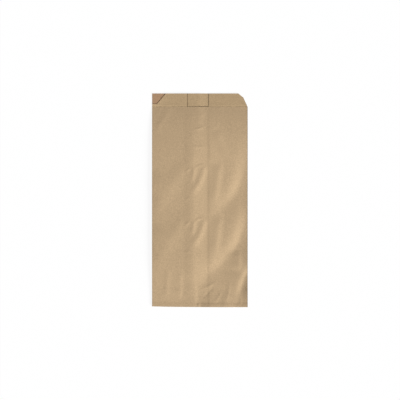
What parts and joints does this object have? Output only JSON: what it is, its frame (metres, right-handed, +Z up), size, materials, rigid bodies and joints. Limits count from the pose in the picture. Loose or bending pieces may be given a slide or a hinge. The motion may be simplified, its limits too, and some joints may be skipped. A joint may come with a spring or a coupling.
{
  "type": "greaseproof paper bag",
  "caption": "Flat greaseproof paper bag with folded side gussets, a stepped open mouth and a pasted flap across its closed end.",
  "frame": {"origin": "middle of the bag on the surface it lies on", "axes": "+X across the bag, +Y from the closed end to the mouth, +Z up through the front panel"},
  "size_m": [0.15, 0.335, 0.0031],
  "materials": {
    "kraft_paper": "smooth unbleached kraft with a slight sheen"
  },
  "bodies": {
    "root": {"paper_bag": "kraft_paper"}
  },
  "joints": []
}
